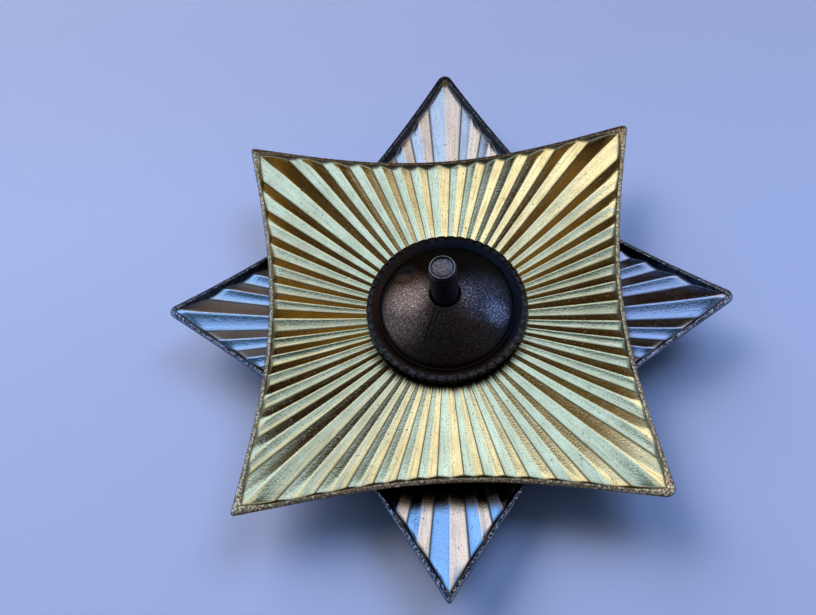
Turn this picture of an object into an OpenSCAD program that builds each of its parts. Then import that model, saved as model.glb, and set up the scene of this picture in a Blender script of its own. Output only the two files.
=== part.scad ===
// Breast badge of two stamped stars, lying face down on its front disc.
// A silver star with four long points carries a gold star with four broad corners,
// and a domed nut on a screw post clamps both. +Z points out of the reverse,
// +Y towards the top silver point, and the origin is the middle of the resting face.

/* [Silver star] */
// Distance from the post to the ends of the right, top, left and bottom points
silver_reach = [30.4, 30.8, 30.6, 31.7]; // [30:0.1:33]
// Radius of the worn ends of those points
silver_end_r = [0.9, 0.9, 0.8, 0.3]; // [0.3:0.05:1]
// Half angle at the ends of those points, in degrees
silver_half_angle = [32.4, 32.2, 32.3, 31.6]; // [31:0.1:33]
// How much the sides of a silver point curve inwards, per millimetre
silver_side_curve = 0.0034; // [0.003:0.0002:0.004]
// Sideways place of the silver star against the post
silver_shift = [0.03, 0.15]; // [-0.2:0.01:0.2]
// Height of the silver star's grooves at the middle of the plate
silver_middle_z = 2.9; // [2.8:0.05:3]
// Height of the silver border at the ends of the points
silver_border_z = 6.85; // [6.8:0.05:6.9]

/* [Gold star] */
// Half of the distance between two gold corners along one side
gold_half_side = 22; // [21:0.1:23]
// How far the middle of a gold side curves inwards
gold_hollow = 2.8; // [2:0.05:3.5]
// How much straighter that side is near its corners
gold_hollow_ease = 0.91; // [0:0.05:1.2]
// Height of the gold star's grooves at the middle of the plate
gold_middle_z = 5.2; // [5.15:0.05:5.3]
// Height of the gold border at its corners
gold_border_z = 7.9; // [7.8:0.05:8]
// Turn of the gold star against the silver star, in degrees
gold_turn = 1.6; // [0:0.05:3]
// Sideways place of the gold star against the post
gold_shift = [-0.26, -0.6]; // [-0.8:0.05:0.8]
// Radius of the worn ends of the top right, top left, bottom left and bottom right corners
gold_end_r = [0.5, 0.3, 0.3, 0.9]; // [0.3:0.05:1]

/* [Stamped plates] */
// Thickness of the sheet
sheet_t = 0.5; // [0.4:0.05:0.5]
// Angle of the wide ray faces beside each point and each hollow, in degrees
wide_ray = 4.2; // [3.3:0.1:6]
// Slope of the ray faces, in degrees
ray_slope = 20; // [12:1:21]
// Width of the filed border, seen from the back
border_w = 0.42; // [0.3:0.02:0.6]
// Height of the border's inner edge over its outer edge
border_rise = 0.35; // [0.2:0.05:0.35]
// Radius of the hole for the post in the silver star
silver_hole_r = 1.8; // [1.7:0.05:2.2]
// Radius of the hole for the post in the gold star
gold_hole_r = 2.6; // [2.5:0.05:2.8]

/* [Screw post] */
// Radius of the thread's crests
thread_r = 1.45; // [1.4:0.01:1.5]
// Distance from one thread to the next
thread_pitch = 0.5; // [0.5:0.05:0.6]
// Depth of the thread
thread_depth = 0.26; // [0.2:0.01:0.3]
// Height of the post's end over the resting face
post_top = 15.5; // [14:0.1:18]
// Radius of the plain disc on the front, which the badge rests on
disc_r = 9; // [8:0.5:12]
// Thickness of that disc
disc_t = 2.35; // [2:0.05:2.35]

/* [Nut] */
// Radius of the nut's milled flange
nut_r = 8.82; // [8.5:0.02:9.2]
// Height of the milled edge
flange_h = 0.73; // [0.5:0.05:1]
// Height of the whole nut
nut_h = 3.9; // [3.5:0.1:4.5]
// Number of notches round the milled edge
notch_count = 50; // [40:2:70]
// Running clearance between the nut's hole and the thread
nut_clearance = 0.05; // [0.02:0.01:0.1]

/* [Hidden] */
$fn = 96;

// Rays: each eighth of a plate has one wide face, twelve equal faces and one more wide face
narrow_ray = (45 - 2 * wide_ray) / 12;
// Inner wall of the border: share of its depth that is steep, and run per unit of depth
steep_share = 0.6;
steep_run = 0.3;
foot_run = 0.75;
// Least depth of the tray under the border
least_depth = 0.12;
// Vertical part of the border's outer edge
edge_t = 0.15;
// Share of the front's turned edge that its knee lies in, and of the drop there
knee_in = 0.4;
knee_drop = 0.55;
// How the plates are dished: rise per square millimetre of the distance from the middle
silver_dish = 0.0038;
silver_border_dish = 0.0024;
gold_dish = 0.0034;
gold_border_dish = 0.00191;
silver_border_r = 31;
gold_border_r = gold_half_side * sqrt(2);
// Where the gold dish flattens towards the corners, and how fast
gold_flat_from_r = 23.5;
gold_flattening = 0.027;
// Rings of points across the ray field, as shares of its width
field_rings = [0.8, 0.6, 0.4, 0.2];
middle_r = 0.9;

// Clearance between pieces that lie on each other
seat_gap = 0.05;
gold_reach_under_nut = nut_r + norm(gold_shift);
nut_z = gold_groove_z(gold_reach_under_nut) + ridge(0) * gold_reach_under_nut + seat_gap;
shank_r = thread_r;
thread_start = nut_z - 0.4;
thread_lead_out = 0.3;
end_chamfer = 0.13;
recess_r = 1.08;
recess_depth = 0.45;
crest_flat = 0.14;

lip_r = 8.3;
lip_h = flange_h + 0.08;
groove_outer_r = 7.6;
groove_r = 7.4;
groove_h = flange_h - 0.12;
dome_r = 7.25;
dome_foot_h = flange_h + 0.1;
crown_r = 1.75;
dome_bulge = 0.55;
notch_r = 0.2;
dent_r = 2.6;
dent_depth = 0.16;
// Places of the two dents on the dome: angle round the post and distance from it
dents = [[148, 4.9], [-12, 5.3]];

// Height of the rays over their grooves at an angle from the nearest point or hollow, per unit of radius
function ridge(angle) =
    let (
        share = angle < wide_ray ? wide_ray - angle
            : angle > 45 - wide_ray ? angle - (45 - wide_ray)
            : narrow_ray - abs((angle - wide_ray) % (2 * narrow_ray) - narrow_ray)
    ) share * PI / 180 * tan(ray_slope);

// Height of the grooves of each plate at a radius
function silver_groove_z(r) = silver_middle_z + silver_dish * r * r;
function gold_groove_z(r) = gold_middle_z + gold_dish * r * r - gold_flattening * pow(max(0, r - gold_flat_from_r), 2);

// Distance of (x, y) inside the side of a silver point that lies along +X, with its ideal end at tip
function silver_inside(x, y, tip, half_angle) =
    let (
        w = tip - x,
        lean = tan(half_angle) + 2 * silver_side_curve * w
    ) (w * tan(half_angle) + silver_side_curve * w * w - abs(y)) / sqrt(1 + lean * lean);

// Distance of (x, y) inside the side of a gold corner that lies along +X
function gold_inside(x, y) =
    let (
        u = (x - abs(y)) / sqrt(2) / gold_half_side,
        side = gold_half_side - gold_hollow * (1 - u * u) + gold_hollow_ease * (1 - u * u) * u * u,
        lean = (2 * gold_hollow * u + gold_hollow_ease * (2 * u - 4 * u * u * u)) / gold_half_side
    ) (side - (x + abs(y)) / sqrt(2)) / sqrt(1 + lean * lean);

// Radius at which a ray from the middle comes within an inset of the side
function side_radius(inside, angle, inset, low, high, steps = 24) =
    steps == 0 ? (low + high) / 2
    : let (mid = (low + high) / 2)
        inside(mid * cos(angle), mid * sin(angle)) > inset
            ? side_radius(inside, angle, inset, mid, high, steps - 1)
            : side_radius(inside, angle, inset, low, mid, steps - 1);

// Distance from the middle to the ideal end of a point, from its rounded end
function ideal_tip(reach, half_angle, end_r) = reach + end_r * (1 / sin(half_angle) - 1);

// Angle at which the rounded end of a point meets its straight side, for an inset of both
function touch_angle(tip, half_angle, end_r, inset = 0) =
    atan2((end_r - inset) * cos(half_angle), tip - end_r / sin(half_angle) + (end_r - inset) * sin(half_angle));

// The radius of the inset outline with the point's end rounded
function edge_radius(inside, tip, half_angle, end_r, angle, inset) =
    let (
        centre = tip - end_r / sin(half_angle),
        r = end_r - inset
    ) inset < end_r && abs(angle) < touch_angle(tip, half_angle, end_r, inset)
        ? centre * cos(angle) + sqrt(r * r - pow(centre * sin(angle), 2))
        : side_radius(inside, angle, inset, 1, tip);

// Angles of the ray edges from one hollow to the next, with two more on each side of the point
function sector_angles(touch) =
    let (
        half = concat([for (k = [0:12]) wide_ray + k * narrow_ray], [45]),
        near = [touch / 2, touch]
    ) concat(
        [for (k = [13:-1:0]) -half[k]], [-near[1], -near[0], 0], near, [for (k = [0:12]) half[k]]
    );

// One column of the plate's section: a closed loop of [radius, height], out over the back and in over the front
function section(inside, tip, half_angle, end_r, angle, groove_z, border_z, border_dish, border_r) =
    let (
        ridge_rate = ridge(abs(angle)),
        r_edge = edge_radius(inside, tip, half_angle, end_r, angle, 0),
        r_crest = edge_radius(inside, tip, half_angle, end_r, angle, border_w),
        r_guess = edge_radius(inside, tip, half_angle, end_r, angle, 2 * border_w),
        z_edge = border_z - border_dish * (border_r * border_r - r_edge * r_edge),
        z_crest = border_z - border_dish * (border_r * border_r - r_crest * r_crest) + border_rise,
        field = function(r) groove_z(r) + ridge_rate * r,
        depth = max(least_depth, z_crest - field(r_guess)),
        inset_base = border_w + depth * steep_share * steep_run,
        inset_foot = inset_base + depth * (1 - steep_share) * foot_run,
        r_base = edge_radius(inside, tip, half_angle, end_r, angle, inset_base),
        r_foot = edge_radius(inside, tip, half_angle, end_r, angle, inset_foot),
        z_foot = min(field(r_foot), z_crest - least_depth),
        z_base = z_crest - steep_share * (z_crest - z_foot),
        r_knee = edge_radius(inside, tip, half_angle, end_r, angle, inset_foot * knee_in),
        z_low = z_edge - edge_t,
        z_knee = z_low - knee_drop * max(least_depth, z_low - (z_foot - sheet_t))
    ) concat(
        [[middle_r, field(middle_r)]],
        [for (k = [len(field_rings) - 1:-1:0]) [field_rings[k] * r_foot, field(field_rings[k] * r_foot)]],
        [[r_foot, z_foot], [r_base, z_base], [r_crest, z_crest], [r_edge, z_edge]],
        [[r_edge, z_low], [r_knee, z_knee], [r_foot, z_foot - sheet_t]],
        [for (s = field_rings) [s * r_foot, field(s * r_foot) - sheet_t]],
        [[middle_r, field(middle_r) - sheet_t]]
    );

// A closed skin over a loop of columns, each a closed loop of points
module skin(columns) {
    n = len(columns);
    m = len(columns[0]);
    points = [for (c = columns) each c];
    faces = [
        for (i = [0:n - 1]) for (j = [0:m - 1])
            let (
                a = i * m + j,
                b = i * m + (j + 1) % m,
                c = ((i + 1) % n) * m + (j + 1) % m,
                d = ((i + 1) % n) * m + j
            ) each [[a, c, b], [a, d, c]]
    ];
    polyhedron(points = points, faces = faces, convexity = 12);
}

function turned(profile, angle) = [for (p = profile) [p[0] * cos(angle), p[0] * sin(angle), p[1]]];

module silver_star() {
    groove_z = function(r) silver_groove_z(r);
    color("silver")
    translate([silver_shift[0], silver_shift[1], 0])
    difference() {
        skin([
            for (k = [0:3])
                let (
                    end_r = silver_end_r[k],
                    half_angle = silver_half_angle[k],
                    tip = ideal_tip(silver_reach[k], half_angle, end_r),
                    inside = function(x, y) silver_inside(x, y, tip, half_angle)
                )
                for (angle = sector_angles(touch_angle(tip, half_angle, end_r)))
                    turned(
                        section(inside, tip, half_angle, end_r, angle, groove_z,
                            silver_border_z, silver_border_dish, silver_border_r),
                        90 * k + angle
                    )
        ]);
        cylinder(r = silver_hole_r, h = 4 * silver_middle_z, center = true);
    }
}

module gold_star() {
    tip = gold_border_r;
    half_angle = 45 - atan((2 * gold_hollow - 2 * gold_hollow_ease) / gold_half_side);
    inside = function(x, y) gold_inside(x, y);
    groove_z = function(r) gold_groove_z(r);
    color("gold")
    translate([gold_shift[0], gold_shift[1], 0])
    rotate(45 + gold_turn)
    difference() {
        skin([
            for (k = [0:3]) for (angle = sector_angles(touch_angle(tip, half_angle, gold_end_r[k])))
                turned(
                    section(inside, tip, half_angle, gold_end_r[k], angle, groove_z,
                        gold_border_z, gold_border_dish, gold_border_r),
                    90 * k + angle
                )
        ]);
        cylinder(r = gold_hole_r, h = 4 * gold_middle_z, center = true);
    }
}

// Half section of the threaded stretch: a V groove between every two crests
function thread_profile() =
    let (count = floor((post_top - thread_lead_out - thread_start) / thread_pitch))
    [for (k = [0:count - 1]) let (z = thread_start + k * thread_pitch) each [
        [thread_r, z + crest_flat / 2],
        [thread_r - thread_depth, z + thread_pitch / 2],
        [thread_r, z + thread_pitch - crest_flat / 2]
    ]];

module screw_post() {
    color("dimgray")
    rotate_extrude()
    polygon(concat(
        [[0, 0], [disc_r - 0.3, 0], [disc_r, 0.3], [disc_r, disc_t - 0.3], [disc_r - 0.3, disc_t], [shank_r, disc_t]],
        thread_profile(),
        [
            [thread_r, post_top - end_chamfer], [thread_r - end_chamfer, post_top],
            [recess_r, post_top], [recess_r, post_top - recess_depth], [0, post_top - recess_depth]
        ]
    ));
}

// Height of the dome over the nut's underside at a distance from the post
function dome_h(r) =
    let (s = (dome_r - r) / (dome_r - crown_r))
    dome_foot_h + (nut_h - dome_foot_h) * (s + dome_bulge * s * (1 - s));

module nut() {
    bore_r = thread_r + nut_clearance;
    dome_steps = 8;
    color("darkslategray")
    translate([0, 0, nut_z])
    difference() {
        rotate_extrude()
        polygon(concat(
            [
                [bore_r, 0], [nut_r, 0], [nut_r, flange_h - 0.15], [nut_r - 0.12, flange_h], [lip_r, lip_h],
                [groove_outer_r, flange_h], [groove_r, groove_h], [dome_r, groove_h]
            ],
            [for (k = [0:dome_steps]) let (r = dome_r + (crown_r - dome_r) * k / dome_steps) [r, dome_h(r)]],
            [[bore_r, nut_h - (crown_r - bore_r)]]
        ));
        for (k = [0:notch_count - 1])
            rotate(360 * k / notch_count)
            translate([nut_r + notch_r * 0.35, 0, -1])
            cylinder(r = notch_r, h = nut_h, $fn = 16);
        for (d = dents)
            rotate(d[0])
            translate([d[1], 0, dome_h(d[1]) + dent_r - dent_depth])
            sphere(r = dent_r, $fn = 48);
    }
}

silver_star();
gold_star();
screw_post();
nut();
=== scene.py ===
# %% [markdown]
# # A breast badge, seen from its reverse
#
# The badge lies on its front. From behind it shows two stamped plates: a silver star with four long points
# and, on top of it, a gilt star with four broad corners. Both are hollow and fluted in rays, like a scallop
# shell. A blackened screw post stands up through them, and a domed, milled nut clamps the plates together.
# The solid model gives every size. This script dresses it: finer plates, a finer nut and post, and their
# metals.

# %% Load the solid model
import math
import random

import bmesh
import bpy
from mathutils import Matrix, Vector, noise


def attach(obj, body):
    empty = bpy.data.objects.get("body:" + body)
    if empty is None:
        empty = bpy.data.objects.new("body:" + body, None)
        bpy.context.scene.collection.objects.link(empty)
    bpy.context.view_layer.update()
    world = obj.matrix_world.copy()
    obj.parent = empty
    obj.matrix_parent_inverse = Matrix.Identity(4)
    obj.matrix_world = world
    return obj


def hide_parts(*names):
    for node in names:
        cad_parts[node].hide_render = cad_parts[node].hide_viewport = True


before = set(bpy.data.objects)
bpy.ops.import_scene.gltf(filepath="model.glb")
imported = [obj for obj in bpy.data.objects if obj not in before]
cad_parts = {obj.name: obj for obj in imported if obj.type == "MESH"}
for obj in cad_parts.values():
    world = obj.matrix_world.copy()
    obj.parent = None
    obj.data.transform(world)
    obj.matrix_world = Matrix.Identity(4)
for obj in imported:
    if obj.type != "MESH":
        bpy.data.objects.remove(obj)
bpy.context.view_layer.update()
MM = 0.001

# %% [markdown]
# ## The camera
#
# The camera stands where the photograph was taken: close above the badge, leaning in from its lower side.
# The badge fills the picture from about 11 cm away, which is why its near parts look larger than its far
# ones. The place and the two directions come from matching the outlines of both stars, the nut and the post.

# %% Camera
PHOTO_WIDTH = 816
FOCAL_PIXELS = 1020.5
SENSOR_MM = 36
NEAREST_M = 0.005
FARTHEST_M = 20
LENS_PLACE = Vector((4.32, -48.66, 106.12))
LENS_LOOKS = Vector((-0.0766, 0.4373, -0.8961)).normalized()
LENS_RIGHT = Vector((0.9966, 0.0080, -0.0812))


def photo_camera():
    lens = bpy.data.cameras.new("photo_camera")
    lens.sensor_width = SENSOR_MM
    lens.lens = SENSOR_MM * FOCAL_PIXELS / PHOTO_WIDTH
    lens.clip_start = NEAREST_M
    lens.clip_end = FARTHEST_M
    right = (LENS_RIGHT - LENS_LOOKS * LENS_RIGHT.dot(LENS_LOOKS)).normalized()
    up = right.cross(LENS_LOOKS)
    turn = Matrix((right, up, -LENS_LOOKS)).transposed().to_4x4()
    camera = bpy.data.objects.new("photo_camera", lens)
    camera.matrix_world = Matrix.Translation(LENS_PLACE * MM) @ turn
    bpy.context.scene.collection.objects.link(camera)
    bpy.context.scene.camera = camera
    return camera


print("camera lens:", round(photo_camera().data.lens, 2), "mm")

# %% [markdown]
# ## The outlines of the two plates
#
# A plate is stamped from half-millimetre sheet. Its rays start at the middle and run to a steep inner wall,
# which ends in a narrow filed border. The outline could be drawn as a row of points, but then the border and
# the wall would need rows of their own. Here it is described by how far a place lies inside it, so that the
# border, the wall and the rays all follow the same edge at their own distance. Where the edge lies at an
# angle is found by halving: a radius is tried, and the half that holds the edge is kept.

# %% One corner of a plate
SEARCH_FROM_R = 1.0
SEARCH_STEPS = 26


class Corner:
    """One point of a plate: its end, its half angle, and how far a place lies inside its sides."""

    def __init__(self, tip, half_angle, end_r, inside):
        self.tip = tip
        self.half = math.radians(half_angle)
        self.end_r = end_r
        self.inside = inside

    def edge(self, angle, inset):
        """Radius of the outline at an angle from the point's middle line, moved inwards by an inset."""
        centre = self.tip - self.end_r / math.sin(self.half)
        r = self.end_r - inset
        if r > 0:
            touch = math.atan2(r * math.cos(self.half), centre + r * math.sin(self.half))
            if abs(angle) < touch:
                return centre * math.cos(angle) + math.sqrt(r * r - (centre * math.sin(angle)) ** 2)
        low, high = SEARCH_FROM_R, self.tip
        for _ in range(SEARCH_STEPS):
            middle = (low + high) / 2
            if self.inside(middle * math.cos(angle), middle * math.sin(angle)) > inset:
                low = middle
            else:
                high = middle
        return (low + high) / 2


# %% Outline of a silver point
SILVER_CURVE = 0.0034


def silver_corner(reach, half_angle, end_r):
    """A long point, whose sides curve inwards a little."""
    tangent = math.tan(math.radians(half_angle))
    tip = reach + end_r * (1 / math.sin(math.radians(half_angle)) - 1)

    def inside(x, y):
        w = tip - x
        lean = tangent + 2 * SILVER_CURVE * w
        return (w * tangent + SILVER_CURVE * w * w - abs(y)) / math.hypot(1, lean)

    return Corner(tip, half_angle, end_r, inside)


# reach, half angle and end radius, from the right point round over the top one
SILVER_POINTS = ((30.4, 32.4, 0.9), (30.8, 32.2, 0.9), (30.6, 32.3, 0.8), (31.7, 31.6, 0.3))
silver_corners = [silver_corner(*point) for point in SILVER_POINTS]
print("silver points reach", [round(corner.edge(0, 0), 2) for corner in silver_corners], "mm")

# %% Outline of a gilt corner
GOLD_HALF_SIDE = 22
GOLD_HOLLOW = 2.8
GOLD_EASE = 0.91
GOLD_TIP = GOLD_HALF_SIDE * math.sqrt(2)


def gold_corner(end_r):
    """A broad corner between two hollow sides, which straighten towards the corner."""
    def inside(x, y):
        u = (x - abs(y)) / math.sqrt(2) / GOLD_HALF_SIDE
        side = GOLD_HALF_SIDE - GOLD_HOLLOW * (1 - u * u) + GOLD_EASE * (1 - u * u) * u * u
        lean = (2 * GOLD_HOLLOW * u + GOLD_EASE * (2 * u - 4 * u ** 3)) / GOLD_HALF_SIDE
        return (side - (x + abs(y)) / math.sqrt(2)) / math.hypot(1, lean)

    half_angle = 45 - math.degrees(math.atan(2 * (GOLD_HOLLOW - GOLD_EASE) / GOLD_HALF_SIDE))
    return Corner(GOLD_TIP, half_angle, end_r, inside)


# radii of the worn ends, from the top right corner round to the left
GOLD_END_RS = (0.5, 0.3, 0.3, 0.9)
gold_corners = [gold_corner(end_r) for end_r in GOLD_END_RS]
print("gilt corners reach", [round(corner.edge(0, 0), 2) for corner in gold_corners], "mm")

# %% [markdown]
# ## The two plates' own values
#
# Both plates are made by the same functions, so what makes each its own is a set of values, in millimetres.
# The field of rays starts at middle_z, rises by dish and eases off by flatten. The border lies at border_z at
# border_r and its inner edge stands up by rise. rim is the share of the border's width that the file cleaned,
# and corner_rim widens the border at the corners. foot_run says how softly the wall meets the rays; two more
# values say how dark the wall is painted as shade and how far that painted shade reaches back along the
# rays' ends; and end_drop says how far a ray bends down at its end.
# bow is how hollow a strip is, and bow_lean how much more so on the strips that lean to the lower side.

# %% Values of the plates
SILVER = {
    "corners": silver_corners, "turn": 0.0, "shift": (0.03, 0.15), "hole": 1.8, "seed": 5,
    "middle_z": 2.9, "dish": 0.0038, "flatten": 0.0,
    "border_z": 6.85, "border_dish": 0.0024, "border_r": 31.0, "rise": 0.2,
    "rim": 0.6, "corner_rim": 0.15, "foot_run": 0.45, "wall_shade": 1.0, "end_shade": 0.4,
    "end_drop": 0.22, "bow": 0.38, "bow_lean": 0.2,
}
GOLD = {
    "corners": gold_corners, "turn": math.radians(46.6), "shift": (-0.26, -0.6), "hole": 2.6, "seed": 11,
    "middle_z": 5.2, "dish": 0.0034, "flatten": 0.0095,
    "border_z": 7.9, "border_dish": 0.00191, "border_r": GOLD_TIP, "rise": 0.2,
    "rim": 0.92, "corner_rim": 0.4, "foot_run": 1.2, "wall_shade": 0.85, "end_shade": 0.25,
    "end_drop": 0.08, "bow": 0.34, "bow_lean": 0.22,
}
print("the gilt plate stands", round(GOLD["middle_z"] - SILVER["middle_z"], 2), "mm over the silver one")

# %% [markdown]
# ## The rays
#
# On the real plate a ray is a strip of metal between a crest and a groove. The die rounds both a little, and
# that rounding is what catches the light as a thin bright line. An even grid would need very many columns to
# show it, so each strip gets only a few: close together over the crest and the groove, and far apart between
# them. A strip is also a little hollow, each by its own amount, and that bends what it mirrors.

# %% Crests and grooves
EIGHTH = 45
WIDE_RAY = 4.2
NARROW_RAYS = 12
NARROW_RAY = (EIGHTH - 2 * WIDE_RAY) / NARROW_RAYS
CREST_ROUND = 0.5
GROOVE_ROUND = 0.18


def ray_edges():
    """Angles of the crests and grooves over an eighth of a turn. The first is a crest, the next a groove."""
    return [0] + [WIDE_RAY + k * NARROW_RAY for k in range(NARROW_RAYS + 1)] + [EIGHTH]


def ridge(from_crest, width):
    """Height of a ray over its groove, in degrees of arc, with a rounded crest and a rounded groove."""
    height = width - from_crest
    if from_crest < CREST_ROUND:
        height = width - CREST_ROUND / 2 - from_crest ** 2 / (2 * CREST_ROUND)
    if width - from_crest < GROOVE_ROUND:
        height = GROOVE_ROUND / 2 + (width - from_crest) ** 2 / (2 * GROOVE_ROUND)
    return height


def hollow_of(plate, middle, leans):
    """How hollow a strip is: more so where it leans to the lower side of the picture. leans is 1 or -1."""
    return plate["bow"] - plate["bow_lean"] * leans * math.cos(math.radians(middle) + plate["turn"])


print("a narrow ray is", round(NARROW_RAY, 2), "degrees wide")

# %% Columns of mesh across the rays
BOW_SPREAD = 0.08
GROOVE_SHADE_REACH = 0.45
NARROW_STEPS = (0, 0.16, 0.33, 0.5, 1.1, 1.8, 2.4, 2.7, 2.87)
WIDE_STEPS = (0, 0.16, 0.33, 0.5, 0.9, 1.3, 1.8, 2.4, 3.0, 3.5, 3.85, 4.02)


def ray_columns(draw, plate, turn):
    """(angle from the point's middle line, ridge height in degrees, crest, painted groove shade, (lean,
    left)) for each line of mesh over a quarter turn. The painted groove shade darkens a strip near its
    groove. lean is
    1 on a strip that leans to the lower side of the picture, and left is 1 on one that leans to its left."""
    edges = ray_edges()
    eighth = []
    for k in range(len(edges) - 1):
        width = edges[k + 1] - edges[k]
        steps = WIDE_STEPS if k in (0, len(edges) - 2) else NARROW_STEPS
        falls = k % 2 == 0
        for step in steps:
            eighth.append((edges[k] + step, step if falls else width - step, width, k))
    columns = []
    hollow = {}
    for side in (-1, 1):
        rows = eighth[1:] if side < 0 else eighth
        for angle, from_crest, width, k in rows:
            middle = turn + side * (edges[k] + edges[k + 1]) / 2
            leans = side if k % 2 == 0 else -side
            bow = hollow.setdefault((side, k), draw.gauss(hollow_of(plate, middle, leans), BOW_SPREAD))
            way = math.radians(middle) + plate["turn"]
            ways = (leans * math.cos(way) < 0, leans * math.sin(way) > 0)
            share = from_crest / width
            height = ridge(from_crest, width) - bow * 4 * share * (1 - share)
            crest = max(0, 1 - from_crest / CREST_ROUND)
            # painted shade: the strip is darkened near its groove, where shade falls between the strips
            dirt_and_shade = max(0, 1 - (width - from_crest) / GROOVE_SHADE_REACH)
            columns.append((side * angle, height, crest, dirt_and_shade, ways))
    columns.append((-EIGHTH, ridge(0, WIDE_RAY), 1, 0, (0, 0)))
    return sorted(columns)


print("columns in a quarter turn:", len(ray_columns(random.Random(0), SILVER, 0)))

# %% [markdown]
# ## The section of a plate
#
# A cut through the plate along one column is a closed loop: from the hole out along the ray, up the wall,
# over the border, down the outer edge and back underneath at the thickness of the sheet. Each place on the
# loop also says how much it belongs to the border, how much painted shade it takes and whether it lies on a
# crest. The painted shade darkens the groove, the ray's end, the wall, the border's outer edge and the knee
# under it.

# %% Section along one column
SHEET = 0.5
RAY_SLOPE = math.tan(math.radians(20))
FLAT_FROM_R = 20
BORDER_W = 0.42
CORNER_SPREAD = 2.4
LEAST_DEPTH = 0.12
STEEP_SHARE = 0.6
STEEP_RUN = 0.3
EDGE_T = 0.15
EDGE_SHADE = 0.2
KNEE_IN = 0.4
KNEE_DROP = 0.55
FIELD_RINGS = 20
BACK_RINGS = 5
END_RUN = 1.1
END_RINGS = (0.9, 0.65, 0.42, 0.22, 0.06)
FOOT_LIFT = 0.03
FOOT_SHADE = 0.9
WALL_BEND_OUT = 0.5
WALL_BEND_UP = 0.45
WALL_LIP = 0.15
# share of the border's width and drop in millimetres, for the rings before and after the edge of the filing
INNER_BORDER = ((0, 0.03), (0.12, 0), (0.45, 0))
OUTER_BORDER = ((0.93, 0.01), (1, 0.03))


def part_way(start, end, share):
    return start + (end - start) * share


def plate_section(plate, corner, angle, height, crest, dirt_and_shade):
    """Closed loop of (radius, z, border, painted shade, crest): out over the side that shows,
    and back underneath.
    """
    rate = math.radians(height) * RAY_SLOPE

    def field(r):
        flat = plate["flatten"] * max(0, r - FLAT_FROM_R) ** 2
        return plate["middle_z"] + plate["dish"] * r * r - flat + rate * r

    def border(r):
        return plate["border_z"] - plate["border_dish"] * (plate["border_r"] ** 2 - r * r)

    r_edge = corner.edge(angle, 0)
    rim_w = BORDER_W + plate["corner_rim"] * math.exp(-(math.degrees(angle) / CORNER_SPREAD) ** 2)
    r_crest = corner.edge(angle, rim_w)
    z_crest = border(r_crest) + plate["rise"]
    depth = max(LEAST_DEPTH, z_crest - field(corner.edge(angle, 2 * rim_w)))
    inset_base = rim_w + depth * STEEP_SHARE * STEEP_RUN
    inset_foot = inset_base + depth * (1 - STEEP_SHARE) * plate["foot_run"]
    r_base = corner.edge(angle, inset_base)
    r_foot = corner.edge(angle, inset_foot)
    cap = z_crest - LEAST_DEPTH

    def top(r):
        """The field's height, where a ray bends down in its last millimetre."""
        bend = max(0, 1 - (r_foot - r) / END_RUN)
        return min(field(r) - plate["end_drop"] * bend * bend * height / WIDE_RAY, cap)

    z_foot = top(r_foot)
    z_base = part_way(z_crest, z_foot, STEEP_SHARE)
    r_knee = corner.edge(angle, inset_foot * KNEE_IN)
    z_edge = border(r_edge)
    z_low = z_edge - EDGE_T
    z_knee = z_low - KNEE_DROP * max(LEAST_DEPTH, z_low - (z_foot - SHEET))

    loop = []
    for i in range(FIELD_RINGS):
        r = part_way(plate["hole"], r_foot - END_RUN, i / (FIELD_RINGS - 1))
        loop.append((r, top(r), 0, dirt_and_shade, crest))
    # painted shade: the wall, its foot and the end of each ray next to it are darkened
    wall = plate["wall_shade"]
    for back in END_RINGS:
        end_shade = wall * max(0, 1 - back / plate["end_shade"])
        loop.append((r_foot - back, top(r_foot - back), 0, max(dirt_and_shade, end_shade), crest))
    loop.append((r_foot, z_foot + FOOT_LIFT, 0, max(dirt_and_shade, FOOT_SHADE * wall), 0))
    loop.append((part_way(r_foot, r_base, WALL_BEND_OUT), part_way(z_foot, z_base, WALL_BEND_UP), 0, wall, 0))
    loop.append((r_base, z_base, 0, wall, 0))
    loop.append((part_way(r_crest, r_base, WALL_LIP), part_way(z_crest, z_base, WALL_LIP), 0, wall, 0))
    # painted shade: past the filed part, the border's outer edge is darkened
    for share, drop in (*INNER_BORDER, (plate["rim"], 0), *OUTER_BORDER):
        rim = 1 if share <= plate["rim"] else 0
        z = part_way(z_crest, z_edge, share) - drop
        loop.append((part_way(r_crest, r_edge, share), z, rim, 1 - rim, 0))
    # painted shade beneath: a little on the outer edge's lower side, fully on the knee under the border
    loop.append((r_edge, z_low, plate["rim"], EDGE_SHADE, 0))
    loop.append((r_knee, z_knee, 0, 1, 0))
    loop.append((r_foot, z_foot - SHEET, 0, 0, 0))
    for i in range(BACK_RINGS):
        r = part_way(r_foot, plate["hole"], (i + 1) / BACK_RINGS)
        loop.append((r, top(r) - SHEET, 0, 0, 0))
    return loop


print("rings in a section:", len(plate_section(SILVER, silver_corners[0], 0, WIDE_RAY, 1, 0)))

# %% [markdown]
# ## Spinning a plate
#
# A chain of vertices, one for each ring of the plate, is spun a quarter turn, and the quarter is copied
# round. A single long spin would do too, but a spin looks for doubles at every step and gets slow. The result
# is a band of quads with one column for each angle. Then every vertex is moved to its place on the section of
# its own column. What the metal has to know is kept with each vertex, as attributes: how much it belongs to
# the border, how much painted shade it takes, whether it is on a crest, and which way its strip leans, which
# picks the silvered strips that get painted reflections.

# %% Spin a band
CHAIN_START = 10.0
SAME_PLACE = 0.001


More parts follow.
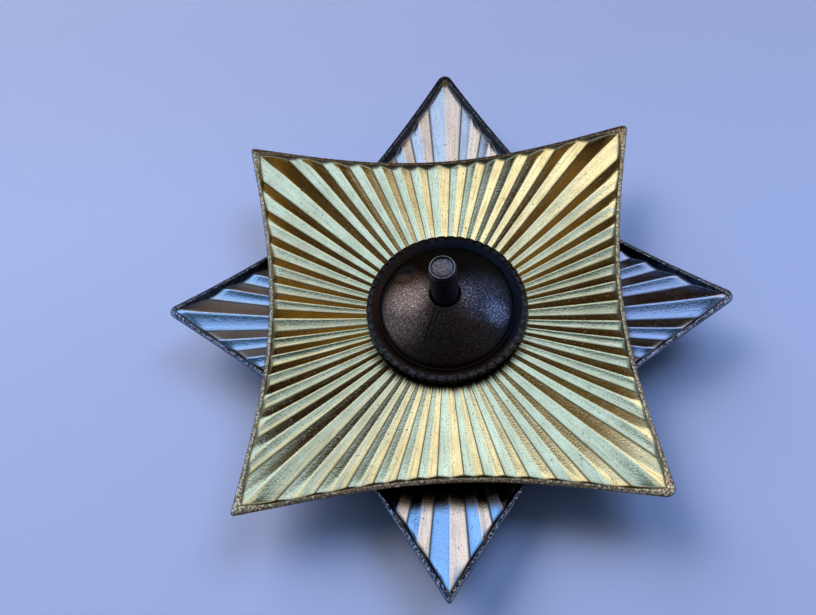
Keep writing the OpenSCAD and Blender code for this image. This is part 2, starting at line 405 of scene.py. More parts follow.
def spun_band(rings, steps):
    bm = bmesh.new()
    chain = [bm.verts.new((CHAIN_START + i, 0, 0)) for i in range(rings)]
    links = [bm.edges.new((chain[i], chain[(i + 1) % rings])) for i in range(rings)]
    about = {"cent": (0, 0, 0), "axis": (0, 0, 1), "dvec": (0, 0, 0)}
    bmesh.ops.spin(bm, geom=chain + links, angle=math.pi / 2, steps=steps // 4, use_duplicate=False, **about)
    quarter = bm.verts[:] + bm.edges[:] + bm.faces[:]
    bmesh.ops.spin(bm, geom=quarter, angle=1.5 * math.pi, steps=3, use_duplicate=True, **about)
    bmesh.ops.remove_doubles(bm, verts=bm.verts, dist=SAME_PLACE)
    return bm


def place_in_band(vert, steps):
    """Ring and column of a vertex of a band that hasn't been shaped yet."""
    ring = round(math.hypot(vert.co.x, vert.co.y) - CHAIN_START)
    column = round(math.atan2(vert.co.y, vert.co.x) / (2 * math.pi) * steps) % steps
    return ring, column


def finished(bm, name, body, node):
    """Writes a bmesh to a new object that rides on a body and stands for a node of the solid model."""
    bmesh.ops.recalc_face_normals(bm, faces=bm.faces)
    mesh = bpy.data.meshes.new(name)
    bm.to_mesh(mesh)
    bm.free()
    mesh.shade_smooth()
    piece = bpy.data.objects.new(name, mesh)
    bpy.context.scene.collection.objects.link(piece)
    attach(piece, body)
    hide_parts(node)
    print(name, "has", len(mesh.polygons), "faces")
    return piece


# %% Make the plates
WAVE_SIZE = 4.0
WAVE_HEIGHT = 0.012
ON_BORDER = 0.4
# x, y, reach and depth of the nicks in the gilt border
EDGE_NICKS = ((-5.1, -20.2, 0.22, 0.25), (-14.5, -22.0, 0.35, 0.2))


def make_plate(name, node, plate, nicks=()):
    draw = random.Random(plate["seed"])
    sections = []
    for k, corner in enumerate(plate["corners"]):
        for angle, height, crest, dirt_and_shade, ways in ray_columns(draw, plate, 90 * k):
            turn = math.radians(angle + 90 * k) + plate["turn"]
            loop = plate_section(plate, corner, math.radians(angle), height, crest, dirt_and_shade)
            sections.append((turn, loop, ways))
    steps = len(sections)
    bm = spun_band(len(sections[0][1]), steps)
    marks = ("border", "dirt_and_shade", "crest", "lean", "left")
    layers = [bm.verts.layers.float.new(mark) for mark in marks]
    for vert in bm.verts:
        ring, column = place_in_band(vert, steps)
        turn, loop, ways = sections[column]
        r, z, border, dirt_and_shade, crest = loop[ring]
        x = plate["shift"][0] + r * math.cos(turn)
        y = plate["shift"][1] + r * math.sin(turn)
        if ring < FIELD_RINGS:
            z += WAVE_HEIGHT * noise.noise(Vector((x, y, plate["seed"])) / WAVE_SIZE)
        for nick_x, nick_y, nick_r, nick_depth in nicks:
            near = max(0, 1 - math.hypot(x - nick_x, y - nick_y) / nick_r)
            z -= nick_depth * near if border > ON_BORDER else 0
        vert.co = Vector((x, y, z)) * MM
        for layer, value in zip(layers, (border, dirt_and_shade, crest, *ways)):
            vert[layer] = value
    return finished(bm, name, "badge", node)


silver_plate = make_plate("silver_plate", "silver_star", SILVER)
gold_plate = make_plate("gold_plate", "gold_star", GOLD, nicks=EDGE_NICKS)

# %% [markdown]
# ## The nut
#
# The nut is turned on a lathe: a low dome, a groove round its foot and a thin flange with a milled edge.
# A lathe's shape is a spun profile. The milling could be cut with a boolean for each tooth, but on a finely
# spun nut it is enough to move the vertices near the edge, and the two dents in the dome are pressed in the
# same way.

# %% Nut sizes
NUT_Z = 5.81
NUT_R = 8.82
FLANGE_H = 0.73
NUT_H = 3.9
NUT_BORE = 1.5
LIP_R = 8.3
LIP_H = FLANGE_H + 0.08
DOME_R = 7.25
DOME_FOOT_H = FLANGE_H + 0.1
CROWN_R = 1.75
DOME_BULGE = 0.55
DOME_RINGS = 22


def dome_height(r):
    s = (DOME_R - r) / (DOME_R - CROWN_R)
    return DOME_FOOT_H + (NUT_H - DOME_FOOT_H) * (s + DOME_BULGE * s * (1 - s))


def nut_profile():
    """(radius, height) from the bore's lower end, under the flange and over the dome back to the bore."""
    under = [(NUT_BORE, 0), (5.0, 0), (NUT_R - 0.1, 0), (NUT_R, 0.08)]
    edge = [(NUT_R, FLANGE_H * share) for share in (0.3, 0.5, 0.7)]
    rim = [(NUT_R - 0.02, FLANGE_H - 0.1), (NUT_R - 0.1, FLANGE_H - 0.02), (NUT_R - 0.2, FLANGE_H + 0.01),
           (NUT_R - 0.35, FLANGE_H + 0.04), (LIP_R, LIP_H), (LIP_R - 0.15, LIP_H),
           (LIP_R - 0.4, LIP_H - 0.04)]
    groove = [(7.7, FLANGE_H - 0.02), (7.6, FLANGE_H - 0.06), (7.5, FLANGE_H - 0.13), (7.4, FLANGE_H - 0.16),
              (7.32, FLANGE_H - 0.13), (7.27, FLANGE_H)]
    radii = [DOME_R - (DOME_R - CROWN_R) * k / DOME_RINGS for k in range(DOME_RINGS + 1)]
    dome = [(r, dome_height(r)) for r in radii]
    mouth = [(CROWN_R - 0.04, NUT_H), (NUT_BORE + 0.06, NUT_H - 0.15), (NUT_BORE, NUT_H - 0.3),
             (NUT_BORE, 2.0)]
    return under + edge + rim + groove + dome + mouth


print("the nut is", 2 * NUT_R, "mm across and", NUT_H, "mm high")

# %% Make the nut
NUT_STEPS = 400
MILLING_COUNT = 50
MILLING_LEVEL = 1.3
MILLING_SWING = 0.9
MILLING_DEPTH = 0.12
MILLING_DROP = 0.08
MILLED_FROM_H = 0.1
CROWN_EDGE = 0.05
RIM_FROM_H = FLANGE_H - 0.12
CROWN_HIGHLIGHT = 0.5
DENT_WALL = 5
DENT_SHRINK = 1.6
# angle, distance from the post, reach and depth of the dents in the dome
DENTS = ((144, 5.5, 1.3, 0.32), (-20, 5.2, 1.7, 0.34))


def dent_depth_at(x, y):
    """Depth of the dents at a place: flat in the middle of one, with a steep wall round it."""
    depth = 0
    for dent_angle, dent_at, dent_r, dent_depth in DENTS:
        dent = Matrix.Rotation(math.radians(dent_angle), 2) @ Vector((dent_at, 0))
        near = (Vector((x, y)) - dent).length / dent_r
        depth += dent_depth * math.exp(-(near ** DENT_WALL) * DENT_SHRINK)
    return depth


def make_nut():
    profile = nut_profile()
    bm = spun_band(len(profile), NUT_STEPS)
    worn_layer = bm.verts.layers.float.new("worn")
    for vert in bm.verts:
        ring, column = place_in_band(vert, NUT_STEPS)
        r, h = profile[ring]
        turn = 2 * math.pi * column / NUT_STEPS
        milling = min(1, MILLING_LEVEL + MILLING_SWING * math.cos(turn * MILLING_COUNT))
        worn = 0
        if r >= LIP_R and h > MILLED_FROM_H:
            r -= MILLING_DEPTH * (1 - milling)
            if h > RIM_FROM_H:
                h -= MILLING_DROP * (1 - milling)
                # the tops of the milling are painted lighter: partly wear, partly a painted highlight
                worn = milling if h > RIM_FROM_H else 0
        # painted highlight on the edge of the mouth
        if CROWN_R - CROWN_EDGE < r <= CROWN_R:
            worn = CROWN_HIGHLIGHT
        x, y = r * math.cos(turn), r * math.sin(turn)
        if CROWN_R < r < DOME_R:
            h -= dent_depth_at(x, y)
        vert.co = Vector((x, y, NUT_Z + h)) * MM
        vert[worn_layer] = worn
    return finished(bm, "domed_nut", "nut", "nut")


nut_piece = make_nut()

# %% [markdown]
# ## The screw post
#
# The post is a plain rod with a thread cut into it and a shallow hollow in its end. Its foot is a disc,
# which is the middle of the badge's front and the part that the whole badge lies on. The thread could be a
# screw-shaped spiral, but at half a millimetre a turn rings look the same, so the post is one profile again,
# spun a full turn, and the openings at both ends of the profile are filled.

# %% Post sizes
THREAD_R = 1.45
THREAD_PITCH = 0.5
THREAD_DEPTH = 0.26
THREAD_START = 5.41
THREAD_STOP = 0.35
POST_TOP = 15.5
DISC_R = 9
DISC_T = 2.35
END_RING_R = 1.28
RECESS_R = 1.2
RECESS_DEPTH = 0.32


def thread_turn(z):
    """(radius, z, worn) of one ring of the thread, whose crests are a little rubbed."""
    core = THREAD_R - THREAD_DEPTH
    return [(THREAD_R - 0.02, z + 0.03, 0.04), (THREAD_R, z + 0.08, 0.06), (THREAD_R - 0.04, z + 0.13, 0),
            (core, z + 0.24, 0), (core, z + 0.28, 0),
            (THREAD_R - 0.04, z + 0.4, 0), (THREAD_R, z + 0.45, 0.06)]


def post_profile():
    """(radius, z, worn) from the middle of the resting face up over the thread to the hollow in the end."""
    foot = [(0.6, 0, 0), (DISC_R - 0.3, 0, 0), (DISC_R - 0.1, 0.06, 0), (DISC_R, 0.25, 0),
            (DISC_R, DISC_T - 0.25, 0), (DISC_R - 0.1, DISC_T - 0.06, 0), (DISC_R - 0.3, DISC_T, 0),
            (THREAD_R + 0.1, DISC_T, 0), (THREAD_R, DISC_T + 0.1, 0)]
    turns = int((POST_TOP - THREAD_STOP - THREAD_START) / THREAD_PITCH)
    thread = [row for k in range(turns) for row in thread_turn(THREAD_START + k * THREAD_PITCH)]
    end = [(THREAD_R, POST_TOP - 0.3, 0.05), (THREAD_R - 0.05, POST_TOP - 0.16, 0),
           (END_RING_R + 0.03, POST_TOP - 0.03, 0.2), (END_RING_R, POST_TOP, 1),
           (END_RING_R - 0.04, POST_TOP, 0.9), (RECESS_R + 0.02, POST_TOP - 0.03, 0),
           (RECESS_R, POST_TOP - 0.14, 0), (RECESS_R - 0.06, POST_TOP - 0.24, 0.1),
           (RECESS_R - 0.18, POST_TOP - RECESS_DEPTH, 0.35), (0.5, POST_TOP - RECESS_DEPTH, 0.4)]
    return foot + thread + end


print("the thread is", 2 * THREAD_R, "mm across and stands up to", POST_TOP, "mm")

# %% Make the post
POST_STEPS = 128


def make_post():
    profile = post_profile()
    bm = bmesh.new()
    worn_layer = bm.verts.layers.float.new("worn")
    chain = [bm.verts.new((r * MM, 0, z * MM)) for r, z, _ in profile]
    links = [bm.edges.new(pair) for pair in zip(chain, chain[1:])]
    for vert, (_, _, worn) in zip(chain, profile):
        vert[worn_layer] = worn
    bmesh.ops.spin(bm, geom=chain + links, cent=(0, 0, 0), axis=(0, 0, 1), dvec=(0, 0, 0),
                   angle=2 * math.pi, steps=POST_STEPS, use_merge=True, use_duplicate=False)
    bmesh.ops.holes_fill(bm, edges=[edge for edge in bm.edges if edge.is_boundary], sides=POST_STEPS)
    return finished(bm, "threaded_post", "badge", "screw_post")


post_piece = make_post()

# %% [markdown]
# ## A small kit for materials
#
# A material is a net of nodes. Shader maths reads best as ordinary sums, so `Wire` wraps one socket
# and turns `+`, `-` and `*` into Math nodes. Every other node comes from `Finish.node`.

# %% Wires and finishes
PER_MM = 1000.0


class Wire:
    """One output of a node, to be used in sums."""

    def __init__(self, finish, socket):
        self.finish = finish
        self.socket = socket

    def maths(self, operation, *values):
        return self.finish.node("ShaderNodeMath", {"operation": operation}, dict(enumerate(values)))

    def __add__(self, other):
        return self.maths("ADD", self, other)

    def __mul__(self, other):
        return self.maths("MULTIPLY", self, other)

    def __sub__(self, other):
        return self.maths("SUBTRACT", self, other)

    def __rsub__(self, other):
        return self.maths("SUBTRACT", other, self)

    __radd__ = __add__
    __rmul__ = __mul__

    def between(self, low, high):
        """0 below low, 1 above high, with a soft step between; low may be the larger one."""
        if low > high:
            return 1 - self.between(high, low)
        return self.finish.node("ShaderNodeMapRange", {"interpolation_type": "SMOOTHSTEP"},
                                {"Value": self, "From Min": low, "From Max": high})

    def between_mm(self, low, high):
        """The same for a wire in metres and limits in millimetres."""
        return self.between(low * MM, high * MM)


class Finish:
    """The nodes of one material, or of the world."""

    def __init__(self, tree):
        self.tree = tree
        tree.nodes.clear()

    def node(self, kind, settings=None, sockets=None, output=0):
        made = self.tree.nodes.new(kind)
        for name, value in (settings or {}).items():
            setattr(made, name, value)
        for name, value in (sockets or {}).items():
            if isinstance(value, Wire):
                self.tree.links.new(value.socket, made.inputs[name])
            else:
                made.inputs[name].default_value = value
        return Wire(self, made.outputs[output]) if made.outputs else made

    def vectors(self, operation, *values, output="Vector"):
        return self.node("ShaderNodeVectorMath", {"operation": operation}, dict(enumerate(values)), output)

    def mix(self, factor, first, second):
        return self.node("ShaderNodeMix", {"data_type": "RGBA"}, {0: factor, 6: first, 7: second}, output=2)

    def noise(self, vector, scale, detail=2.0, roughness=0.5):
        return self.node("ShaderNodeTexNoise", {}, {"Vector": vector, "Scale": scale, "Detail": detail,
                                                    "Roughness": roughness})

    def part(self, place, axis):
        return self.node("ShaderNodeSeparateXYZ", {}, {0: place}, output=axis)

    def attribute(self, name):
        return self.node("ShaderNodeAttribute", {"attribute_name": name}, output="Fac")

    def bump(self, height, distance):
        return self.node("ShaderNodeBump", {}, {"Height": height, "Distance": distance, "Strength": 1.0})


def rgb(r, g, b):
    return (r, g, b, 1)


def new_material(name, dress):
    """A material whose shader's sockets are given by dress(finish, object coordinates)."""
    material = bpy.data.materials.new(name)
    material.use_nodes = True
    finish = Finish(material.node_tree)
    place = finish.node("ShaderNodeTexCoord", output="Object")
    shader = finish.node("ShaderNodeBsdfPrincipled", {}, dress(finish, place))
    finish.node("ShaderNodeOutputMaterial", {}, {"Surface": shader})
    print(name, "takes", len(material.node_tree.nodes), "nodes")
    return material


# %% [markdown]
# ## Gilt and silver
#
# Gilt brass is a mirror with a warm tint, and what shows in it is mostly the room. Its own colour drifts
# between a clean and a duller tone, in clouds and in fine streaks that run along the rays, as the polishing
# left them. Age adds small dark pits, freckles and a dull border with marks of the file. Shade is painted
# into the colour as well, darkening the grooves, the wall, the rays' ends by it and the border's outer edge.
# A painted picture of all that could be wrapped round the plate, but noise that is read at each place of the
# metal stays sharp at any distance and needs no unwrapping. The silvered plate is made the same way in its
# own colours, and its strips are painted blue by the way they lean, as painted reflections of the sky-blue
# room. Both plates also get a painted shadow: the gilt one below the nut, the silvered one under the gilt
# plate's lower edge. Each of these painted tints is a colour and its limits: a measure, where it starts
# and where it is full, in millimetres.

# %% Colours of the plates
GILT = {
    "clean": rgb(1.0, 0.92, 0.56), "dull": rgb(0.68, 0.58, 0.31), "roughness": 0.07, "haze": 0,
    "dirt_and_shade": rgb(0.22, 0.16, 0.06), "dirt_share": 0.25, "pit_and_shade": rgb(0.02, 0.012, 0.004),
    "file_marks": rgb(0.20, 0.13, 0.07), "filed": rgb(1.0, 0.80, 0.52), "filed_roughness": 0.33,
    # painted shadow: a dark band on the gilt rays below the nut
    "painted_light": [(rgb(0.03, 0.018, 0.008), [("post", 11.5, 10.3), ("Y", -2, -7)])],
}
# lean and left are 0 or 1 all over a strip, so limits close to 0 tell the strips apart
TO_LOWER_SIDE = ("lean", 0, 1)
TO_UPPER_SIDE = ("lean", 1, 0)
TO_THE_LEFT = ("left", 0, 1)
SILVERED = {
    "clean": rgb(0.77, 0.71, 0.69), "dull": rgb(0.58, 0.54, 0.53), "roughness": 0.09, "haze": 0.2,
    "dirt_and_shade": rgb(0.22, 0.22, 0.26), "dirt_share": 0.15, "pit_and_shade": rgb(0.008, 0.008, 0.012),
    "file_marks": rgb(0.02, 0.02, 0.03), "filed": rgb(0.50, 0.49, 0.54), "filed_roughness": 0.16,
    # painted reflections: strips tinted blue by the way they lean, then a painted shadow
    "painted_light": [
        (rgb(0.48, 0.68, 0.97), [("X", -16, -21), TO_LOWER_SIDE]),
        (rgb(0.44, 0.53, 0.76), [("X", 14, 19), TO_LOWER_SIDE]),
        (rgb(0.42, 0.46, 0.62), [("X", 14, 19), TO_UPPER_SIDE]),
        (rgb(0.31, 0.48, 0.70), [("Y", -16, -21), TO_THE_LEFT]),
        # painted shadow on the silver under the gilt plate's lower edge
        (rgb(0.06, 0.04, 0.025), [("Y", -22.8, -21.1), ("Y", -15, -16)]),
    ],
}
print("stains on the gilt plate:", len(GILT["painted_light"]), "and on the silvered one:", len(SILVERED["painted_light"]))

# %% Streaks that run along the rays
STREAKS = 140.0
STREAK_PER_MM = 0.3


def along_rays(f, place, centre):
    """A place on a ring, with the radius as its height, so that a pattern read there runs along the rays."""
    flat = f.vectors("MULTIPLY_ADD", place, (1, 1, 0), (-centre[0] * MM, -centre[1] * MM, 0))
    radius = f.vectors("LENGTH", flat, output="Value")
    ring = f.vectors("NORMALIZE", flat)
    height = f.node("ShaderNodeCombineXYZ", {}, {"Z": radius * (STREAK_PER_MM * PER_MM)})
    return f.vectors("MULTIPLY_ADD", ring, (STREAKS, STREAKS, 0), height)


# %% Finish of the plates
POST_MIDDLE_Z = 6
FRAYED_MM = 2.4
SIDE_LIGHT_FROM = 12
SIDE_LIGHT_FULL = 19
VEIL_FROM_X = -15
VEIL_FULL_X = -19
FILE_TURN = 0.9
FILE_STRETCH = 0.12
BUMP_MM = 0.006


def plate_metal(name, centre, look):
    """Polished metal with streaks, pits, dirt and a filed border, and painted shade, shadows and reflections.
    """
    def dress(f, place):
        edge = f.attribute("border")
        dirt_and_shade = f.attribute("dirt_and_shade")
        crest = f.attribute("crest")
        cloud = f.noise(place, 0.35 * PER_MM, 3)
        grain = f.noise(place, 5 * PER_MM, 3, 0.65)
        dust = f.noise(place, 7 * PER_MM, 1, 0.5)
        speck = f.noise(place, 3.2 * PER_MM, 4, 0.7)
        streak = f.noise(along_rays(f, place, centre), 1.0, 4, 0.6)
        pits = speck.between(0.375, 0.315)
        freckles = f.noise(place, 5.5 * PER_MM, 3, 0.6).between(0.38, 0.3) * cloud.between(0.42, 0.6)
        lines = streak.between(0.43, 0.36)
        strokes = f.node("ShaderNodeMapping", {}, {"Vector": place, "Rotation": (0, 0, FILE_TURN),
                                                   "Scale": (1, FILE_STRETCH, 1)})
        filing = f.noise(strokes, 8 * PER_MM, 3)
        grit = f.noise(place, 4.5 * PER_MM, 4, 0.7)

        from_post = f.vectors("DISTANCE", place, (0, 0, POST_MIDDLE_Z * MM), output="Value")
        measures = {axis: f.part(place, axis) for axis in "XY"}
        measures.update({way: f.attribute(way) for way in ("lean", "left")})
        # frayed distance from the post, for the painted shadow below the nut
        measures["post"] = from_post + streak * (FRAYED_MM * MM)
        # painted light: towards the left and right the filed border is painted a little lighter
        beside = (measures["X"] * measures["X"]).between((SIDE_LIGHT_FROM * MM) ** 2, (SIDE_LIGHT_FULL * MM) ** 2)
        veil = look["haze"] * (1 - measures["lean"]) * measures["X"].between_mm(VEIL_FROM_X, VEIL_FULL_X)

        bright = 0.2 + 0.3 * streak.between(0.42, 0.66) + 0.4 * cloud.between(0.35, 0.65)
        metal = f.mix(crest * 0.7, f.mix(bright, look["dull"], look["clean"]), look["clean"])
        # painted light: the painted reflections and shadows listed with the plates' colours
        for tint, limits in look["painted_light"]:
            share = 1.0
            for measure, start, end in limits:
                share = share * measures[measure].between_mm(start, end)
            metal = f.mix(share, metal, tint)
        metal = f.mix(dust.between(0.50, 0.34) * 0.8 * look["dirt_share"], metal, look["dirt_and_shade"])
        metal = f.mix(lines * look["dirt_share"] + freckles * 0.4, metal, look["dirt_and_shade"])
        metal = f.mix(pits * 0.85, metal, look["pit_and_shade"])
        # painted shade: grooves, the wall and its foot, the rays' ends and the border's outer edge and knee
        # are  darkened towards the pits' colour
        metal = f.mix(dirt_and_shade * (0.9 + 0.1 * speck.between(0.4, 0.6)), metal, look["pit_and_shade"])
        filed = f.mix((grit + 0.03 * beside).between(0.48, 0.66), look["file_marks"], look["filed"])
        height = (1 - 0.8 * dirt_and_shade) * (grain * 4.0 + streak * 1.3 - pits * 0.8)
        height = height + edge * (filing * 2.4 + grit * 4.0)
        rough = look["roughness"] + veil + 0.3 * pits + 0.15 * lines + 0.25 * dirt_and_shade + 0.05 * cloud
        return {
            "Base Color": f.mix(edge, metal, filed),
            "Metallic": 1.0,
            "Roughness": rough + look["filed_roughness"] * edge,
            "Normal": f.bump(height, BUMP_MM * MM),
        }

    return new_material(name, dress)


gilt = plate_metal("gilt", GOLD["shift"], GILT)
silvered = plate_metal("silvered", SILVER["shift"], SILVERED)

# %% [markdown]
# ## Blackened metal
#
# The nut and the post are blackened. The finish is almost matt and grainy, and the high edges are rubbed
# brighter. The nut's sheen is painted into its colour: a painted warm sheen with painted glints at the left
# of the dome, a painted blue sheen with glints at the right, and a warm tint at the left of the whole nut and
# a cool one at the right. The tops of the milling are painted lighter, partly as wear and partly as a painted
# highlight, and the edge of the mouth gets a painted highlight. Two scratches run down from the post. These
# marks are too few for a pattern, so each is given its own place and size.

# %% Painted sheen and scratches on the nut
PATCH_CORE = 0.3
SCRATCH_CORE = 0.4
SCRATCH_START_MM = 0.3
SCRATCH_END_MM = 1


def patch(f, place, x, y, reach):
    """1 at a place on the nut given in millimetres, falling to 0 at its reach."""
    flat = f.vectors("MULTIPLY", place, (1, 1, 0))
    away = f.vectors("DISTANCE", flat, (x * MM, y * MM, 0), output="Value")
    return away.between_mm(reach, reach * PATCH_CORE)


def patches(f, place, rows):
    """Sum of patches; a row is (x, y, reach, strength)."""
    return sum(patch(f, place, x, y, reach) * strength for x, y, reach, strength in rows)


def scratch(f, place, start, end, half_width):
    """1 on a thin line between two places on the nut, given in millimetres."""
    run = Vector(end) - Vector(start)
    along = run.normalized()
    across = Vector((-along.y, along.x))

    def measured(way):
        """How far the place lies from the start, in millimetres, in a direction."""
        dot = f.vectors("DOT_PRODUCT", place, (way.x * PER_MM, way.y * PER_MM, 0), output="Value")
        return dot - way.dot(Vector(start))

    beside = measured(across)
    beside = beside.maths("ABSOLUTE", beside)
    forward = measured(along)
    ends = forward.between(0, SCRATCH_START_MM) * forward.between(run.length, run.length - SCRATCH_END_MM)
    return beside.between(half_width, half_width * SCRATCH_CORE) * ends


# %% Finish of the nut
# x, y, reach and strength of each patch of painted sheen, warm at the left and blue at the right
WARM_SHEEN_PATCHES = ((-3.9, 0.6, 3.2, 0.75), (-5.0, -1.6, 4.2, 0.25), (-4.8, 2.7, 1.3, 0.4))
BLUE_SHEEN_PATCHES = ((5.5, -1.5, 1.8, 0.6), (3.8, 0.2, 3.8, 0.3), (2.1, 0.2, 1.5, 0.3))
# start, end and half width of each scratch
SCRATCHES = (((-0.9, -1.5), (-2.6, -5.6), 0.09), ((-0.4, -1.6), (-2.0, -5.3), 0.07))


def nut_dress(f, place):
    worn = f.attribute("worn")
    grain = f.noise(place, 8 * PER_MM, 3, 0.7)
    cloud = f.noise(place, 0.45 * PER_MM, 3)
    dome = patch(f, place, 0, 0, DOME_R).between(0, 0.02)
    rub = f.noise(place, 4 * PER_MM, 3, 0.6)
    # painted reflection: the right and upper side of the nut is tinted cool, the left warm
    cool_sheen_side = (f.part(place, "X") + f.part(place, "Y") * 0.8).between_mm(0.5, 5)
    speckle = grain.between(0.47, 0.62) * (0.2 + 0.8 * dome)
    # painted glints in the grain, mostly within the painted sheen
    glint = f.noise(place, 5.5 * PER_MM, 2, 0.5).between(0.58, 0.68)
    # painted sheen: warm at the left of the dome, blue at the right
    warm_sheen = dome * patches(f, place, WARM_SHEEN_PATCHES)
    blue_sheen = dome * patches(f, place, BLUE_SHEEN_PATCHES)
    scratches = sum(scratch(f, place, *row) for row in SCRATCHES)
    # the dark tones are tinted warm at the left and cool at the right, as painted reflection
    low = f.mix(cool_sheen_side, rgb(0.010, 0.006, 0.005), rgb(0.004, 0.005, 0.008))
    high = f.mix(cool_sheen_side, rgb(0.056, 0.036, 0.028), rgb(0.034, 0.036, 0.055))
    colour = f.mix(speckle * 0.8 + cloud * 0.2, low, high)
    colour = f.mix(warm_sheen * (0.2 + 0.8 * speckle), colour, rgb(0.95, 0.52, 0.34))
    colour = f.mix(blue_sheen * (0.15 + 0.85 * speckle), colour, rgb(0.26, 0.29, 0.48))
    glint_tint = f.mix(cool_sheen_side, rgb(1.0, 0.84, 0.74), rgb(0.80, 0.88, 1.0))
    colour = f.mix(glint * dome * (0.03 + 0.8 * warm_sheen + 0.6 * blue_sheen), colour, glint_tint)
    # wear, and painted highlights on the milling and the mouth's edge
    colour = f.mix(worn * rub.between(0.35, 0.65), colour, rgb(0.06, 0.054, 0.052))
    colour = f.mix(scratches * 0.9, colour, rgb(0.005, 0.005, 0.005))
    return {
        "Base Color": colour,
        "Metallic": 1.0,
        "Roughness": 0.3 + 0.1 * cloud,
        "Normal": f.bump(grain * (0.35 + 0.65 * dome) - scratches * 3.0, 0.05 * MM),
    }


black_nut = new_material("blackened_nut", nut_dress)


# %% Finish of the post
def post_dress(f, place):
    worn = f.attribute("worn")
    grain = f.noise(place, 5 * PER_MM, 3, 0.65)
    rub = f.noise(place, 4 * PER_MM, 3, 0.6)
    colour = f.mix(grain.between(0.35, 0.65), rgb(0.004, 0.003, 0.004), rgb(0.014, 0.012, 0.015))
    colour = f.mix(worn * (0.4 + 0.6 * rub.between(0.35, 0.6)), colour, rgb(0.52, 0.46, 0.50))
    return {
        "Base Color": colour,
        "Metallic": 1.0,
        "Roughness": 0.3 + 0.15 * grain,
        "Normal": f.bump(grain, 0.02 * MM),
    }


black_post = new_material("blackened_post", post_dress)

# %% Dress the pieces
finishes = ((gold_plate, gilt), (silver_plate, silvered), (nut_piece, black_nut), (post_piece, black_post))
for piece, metal in finishes:
    piece.data.materials.append(metal)
    print(piece.name, "wears", metal.name)

# %% [markdown]
# ## Table and room
#
# The badge lies on a pale table. A mirror shows the room, so the room is part of the picture: sky-blue on
# one side, warm white on the other, bright above and dark behind the camera. It isn't built of walls and
# windows. The world's shader gives it as a colour for each direction: a base colour, and round patches that
# fade out from their middles.

# %% Table
TABLE_SIZE_M = 3.0
bpy.ops.mesh.primitive_plane_add(size=TABLE_SIZE_M)
table = bpy.context.object
table.name = "table"


def paper_dress(f, place):
    soft = f.noise(place, 0.02 * PER_MM, 2)
    # painted light: the table is a little lighter and bluer up to 10 mm beyond the badge's middle than from
    # 50 mm on; the near part is softly mottled
    near = f.mix(soft.between(0.3, 0.7), rgb(0.0572, 0.0744, 0.1155), rgb(0.0603, 0.0770, 0.1188))
    far = rgb(0.0560, 0.0688, 0.1010)
    return {
        "Base Color": f.mix(f.part(place, "Y").between_mm(10, 50), near, far),
        "Roughness": 0.6,
    }


table.data.materials.append(new_material("pale_table", paper_dress))


# %% The room as the metal sees it
def direction(azimuth, elevation):
    """Unit vector: azimuth 0 is away from the camera and 90 to the right, both angles are in degrees."""
    a, e = math.radians(azimuth), math.radians(elevation)
    return (math.sin(a) * math.cos(e), math.cos(a) * math.cos(e), math.sin(e))


ROOM_COLOUR = rgb(0.52, 0.73, 1.10)
# the patch's middle, the angles from it where the patch ends and where it is full, and its colour
ROOM_PATCHES = (
    (direction(180, 8), 62, 30, rgb(0.16, 0.14, 0.17)),
    (direction(0, 70), 26, 12, rgb(1.0, 0.97, 0.85)),
    (direction(180, 69), 22, 9, rgb(0.40, 0.51, 0.74)),
    (direction(-85, 81), 12, 6, rgb(0.72, 0.64, 0.62)),
    (direction(-75, 42), 52, 28, rgb(0.62, 0.90, 1.38)),
    (direction(-58, 37), 16, 8, rgb(0.90, 1.25, 1.80)),
    (direction(54, 49), 16, 8, rgb(1.05, 0.95, 0.86)),
)


def room_light():
    bpy.context.scene.view_settings.view_transform = "Standard"
    world = bpy.data.worlds.new("room")
    world.use_nodes = True
    bpy.context.scene.world = world
    f = Finish(world.node_tree)
    look = f.node("ShaderNodeTexCoord", output="Generated")
    colour = ROOM_COLOUR
    for middle, outer, inner, tint in ROOM_PATCHES:
        facing = f.vectors("DOT_PRODUCT", look, middle, output="Value")
        share = facing.between(math.cos(math.radians(outer)), math.cos(math.radians(inner)))
        colour = f.mix(share, colour, tint)
    background = f.node("ShaderNodeBackground", {}, {"Color": colour, "Strength": 1.0})
    f.node("ShaderNodeOutputWorld", {}, {"Surface": background})


room_light()
print("patches in the room:", len(ROOM_PATCHES))

# %% [markdown]
# ## Cards for the reflections
#
# Polished metal is lit by what it mirrors, so its dark stripes need something dark and its white ones
# something bright. Three cards stand just outside the picture: a brown one beyond the badge, a small white
# one to the right, and a dark one at the camera, which shows in the rays at both sides as a band below each
# crest. They stand close, so each part of the badge mirrors another part of them. Only mirrored rays see the
# cards: the table gets no shadow from them.

# %% A card
def add_card(name, size, stand, dress):
    """A glowing card: dress(finish, x, y, z in metres) gives its colour and how much of it is there."""
    bpy.ops.mesh.primitive_plane_add(size=1.0)
    card = bpy.context.object
    card.name = name
    card.data.transform(stand @ Matrix.Diagonal((size[0] * MM, size[1] * MM, 1, 1)))
    for ray in ("camera", "diffuse", "shadow", "transmission"):
        setattr(card, "visible_" + ray, False)
    look = bpy.data.materials.new(name)
    look.use_nodes = True
    f = Finish(look.node_tree)
    place = f.node("ShaderNodeTexCoord", output="Object")
    tint, share = dress(f, *(f.part(place, axis) for axis in "XYZ"))
    glow = f.node("ShaderNodeEmission", {}, {"Color": tint})
    clear = f.node("ShaderNodeBsdfTransparent")
    seen = f.node("ShaderNodeMixShader", {}, {0: share, 1: clear, 2: glow})
    f.node("ShaderNodeOutputMaterial", {}, {"Surface": seen})
    card.data.materials.append(look)
    print(name, "is", size[0], "by", size[1], "mm")


# %% Brown card
BROWN_PLACE = Vector((0, 67, 55))
BROWN_PEAK_X = 12
BROWN_PEAK_Z = 106
BROWN_EDGE = 13


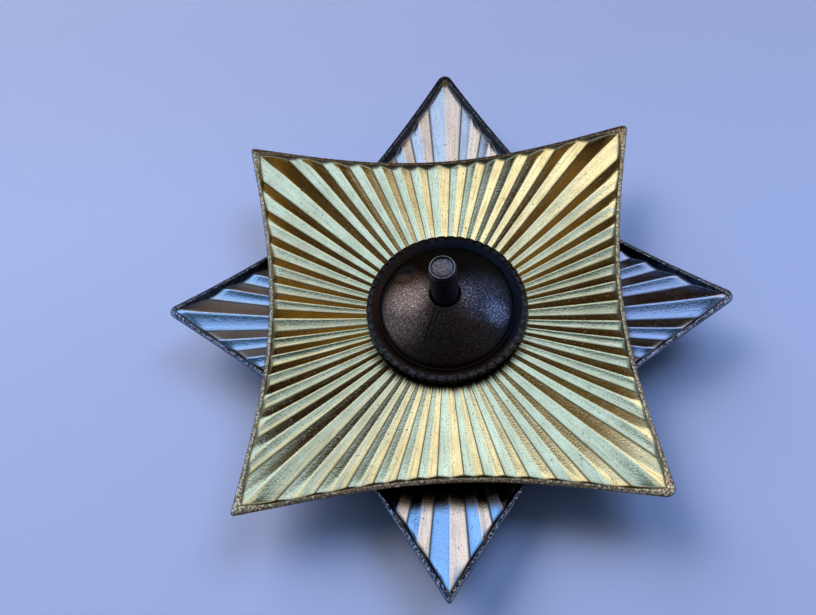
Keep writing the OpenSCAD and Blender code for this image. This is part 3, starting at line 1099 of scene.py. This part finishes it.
def brown_dress(f, x, y, z):
    """Golden at the left of the middle, lit at both sides, with a top edge that falls away from a peak."""
    right = (x - BROWN_PEAK_X * MM) * 0.9
    left = (x - BROWN_PEAK_X * MM) * -0.3
    roof = z + right.maths("MAXIMUM", right, left)
    warm = x.between_mm(-3, -11) * x.between_mm(-31, -16)
    lit = x.between_mm(26, 52) + x.between_mm(-56, -72) * 0.35
    lit = lit + z.between_mm(40, 58) * 0.5 * x.between_mm(-34, -14)
    tint = f.mix(warm, rgb(0.020, 0.008, 0.003), rgb(0.19, 0.10, 0.018))
    tint = f.mix(lit, tint, rgb(0.215, 0.152, 0.062))
    share = roof.between_mm(BROWN_PEAK_Z, BROWN_PEAK_Z - BROWN_EDGE)
    return tint, share * x.between_mm(105, 85) * x.between_mm(-115, -90)


upright = Matrix.Rotation(math.pi / 2, 4, "X")
add_card("brown_card", (240, 110), Matrix.Translation(BROWN_PLACE * MM) @ upright, brown_dress)

# %% White card
WHITE_PLACE = Vector((36, 20, 54))


def white_dress(f, x, y, z):
    """A round card with a soft edge."""
    here = f.node("ShaderNodeCombineXYZ", {}, {"X": x, "Y": y, "Z": z})
    away = f.vectors("DISTANCE", here, WHITE_PLACE * MM, output="Value")
    return rgb(1.30, 1.25, 1.20), away.between_mm(21, 13)


facing = WHITE_PLACE.to_track_quat("Z", "Y").to_matrix().to_4x4()
add_card("white_card", (44, 44), Matrix.Translation(WHITE_PLACE * MM) @ facing, white_dress)

# %% Dark card
DARK_PLACE = Vector((0, -62, 108))


def dark_dress(f, x, y, z):
    """An oblong with soft edges."""
    share = x.between_mm(-56, -42) * x.between_mm(54, 40)
    return rgb(0.03, 0.07, 0.08), share * y.between_mm(-29, -36) * y.between_mm(-95, -85)


add_card("dark_card", (112, 70), Matrix.Translation(DARK_PLACE * MM), dark_dress)

# %% [markdown]
# ## Lamps
#
# The table's shadows come from three round lamps: warm light from the left and cool light from the right tint
# the two sides, and a wide lamp low on the left gives the long soft shadow at the lower right. The metal
# doesn't mirror them, because it has the room and the cards to mirror.

# %% Lamps
LAMP_DISTANCE = 1.2


def add_lamp(name, azimuth, elevation, size, energy, colour):
    light = bpy.data.lights.new(name, "AREA")
    light.shape = "DISK"
    light.size = size
    light.energy = energy
    light.color = colour
    lamp = bpy.data.objects.new(name, light)
    toward = Vector(direction(azimuth, elevation))
    lamp.location = toward * LAMP_DISTANCE
    lamp.rotation_euler = toward.to_track_quat("Z", "Y").to_euler()
    lamp.visible_glossy = False
    bpy.context.scene.collection.objects.link(lamp)
    print(name, "gives", energy, "W")


add_lamp("warm_lamp", -52, 53, 0.7, 28, (1.0, 0.78, 0.62))
add_lamp("cool_lamp", 45, 55, 0.7, 40, (0.5, 0.66, 1.0))
add_lamp("wide_lamp", -34, 36, 1.1, 65, (0.81, 0.815, 1.0))
